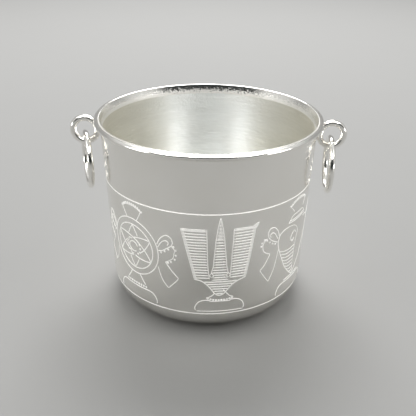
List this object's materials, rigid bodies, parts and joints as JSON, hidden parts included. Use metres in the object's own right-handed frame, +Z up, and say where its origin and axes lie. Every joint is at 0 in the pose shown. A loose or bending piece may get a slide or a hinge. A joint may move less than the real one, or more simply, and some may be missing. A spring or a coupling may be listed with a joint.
{
  "type": "water pot",
  "caption": "Small straight-sided silver water pot for worship, with a wired rim, side loops that carry loose rings, and engraved emblems between border lines.",
  "frame": {"origin": "centre of the underside of the base, on the surface that the pot stands on", "axes": "+Z up along the pot's own axis, +X towards the right-hand loop, -Y towards the engraved front"},
  "size_m": [0.0934, 0.076, 0.0652],
  "materials": {
    "polished_silver": "mirror polished silver, satin inside the cup, matt where engraved",
    "wire_silver": "mirror polished silver wire",
    "silver_solder": "polished silver solder, slightly soft"
  },
  "bodies": {
    "pot": {"pot_body": "polished_silver", "rim_wire": "wire_silver", "right_loop": "wire_silver", "right_loop_solder": "silver_solder", "left_loop": "wire_silver", "left_loop_solder": "silver_solder"},
    "right_hanging_ring": {"right_ring": "wire_silver"},
    "left_hanging_ring": {"left_ring": "wire_silver"}
  },
  "joints": [
    {"name": "right_ring_lift", "type": "hinge", "parent": "pot", "child": "right_hanging_ring", "pos_m": [0.04155, 0, 0.0584], "axis": [0, -1, 0], "range_deg": [-14, 200]},
    {"name": "left_ring_lift", "type": "hinge", "parent": "pot", "child": "left_hanging_ring", "pos_m": [-0.04158, 0, 0.0592], "axis": [0, 1, 0], "range_deg": [-12, 185]}
  ]
}
